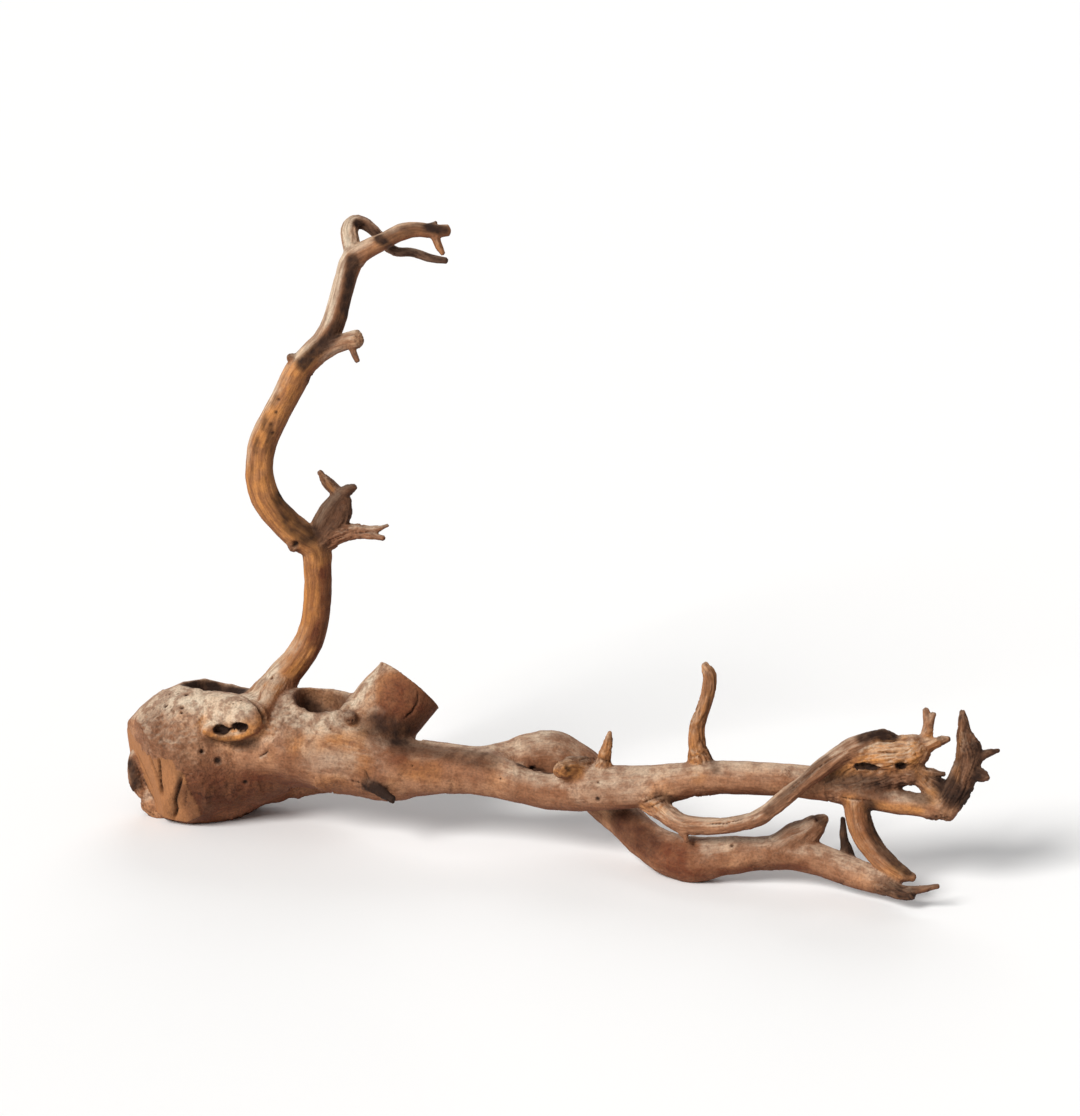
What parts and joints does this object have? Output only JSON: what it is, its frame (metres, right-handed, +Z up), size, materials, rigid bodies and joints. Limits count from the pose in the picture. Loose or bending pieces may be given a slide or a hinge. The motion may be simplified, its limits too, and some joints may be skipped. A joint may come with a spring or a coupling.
{
  "type": "bogwood root",
  "caption": "Dry branching bogwood root lying on a surface: a hewn burl, a long forked trunk and a tall crooked limb with twigs.",
  "frame": {"origin": "centre of the bounding box's bottom, on the surface that the root lies on", "axes": "+X along the trunk from the burl to the twigs, +Z up, and -Y is the side seen in the picture"},
  "size_m": [0.5244, 0.2112, 0.3752],
  "materials": {
    "bogwood": "dry weathered wood, matte"
  },
  "bodies": {
    "root": {"bogwood_root": "bogwood"}
  },
  "joints": []
}
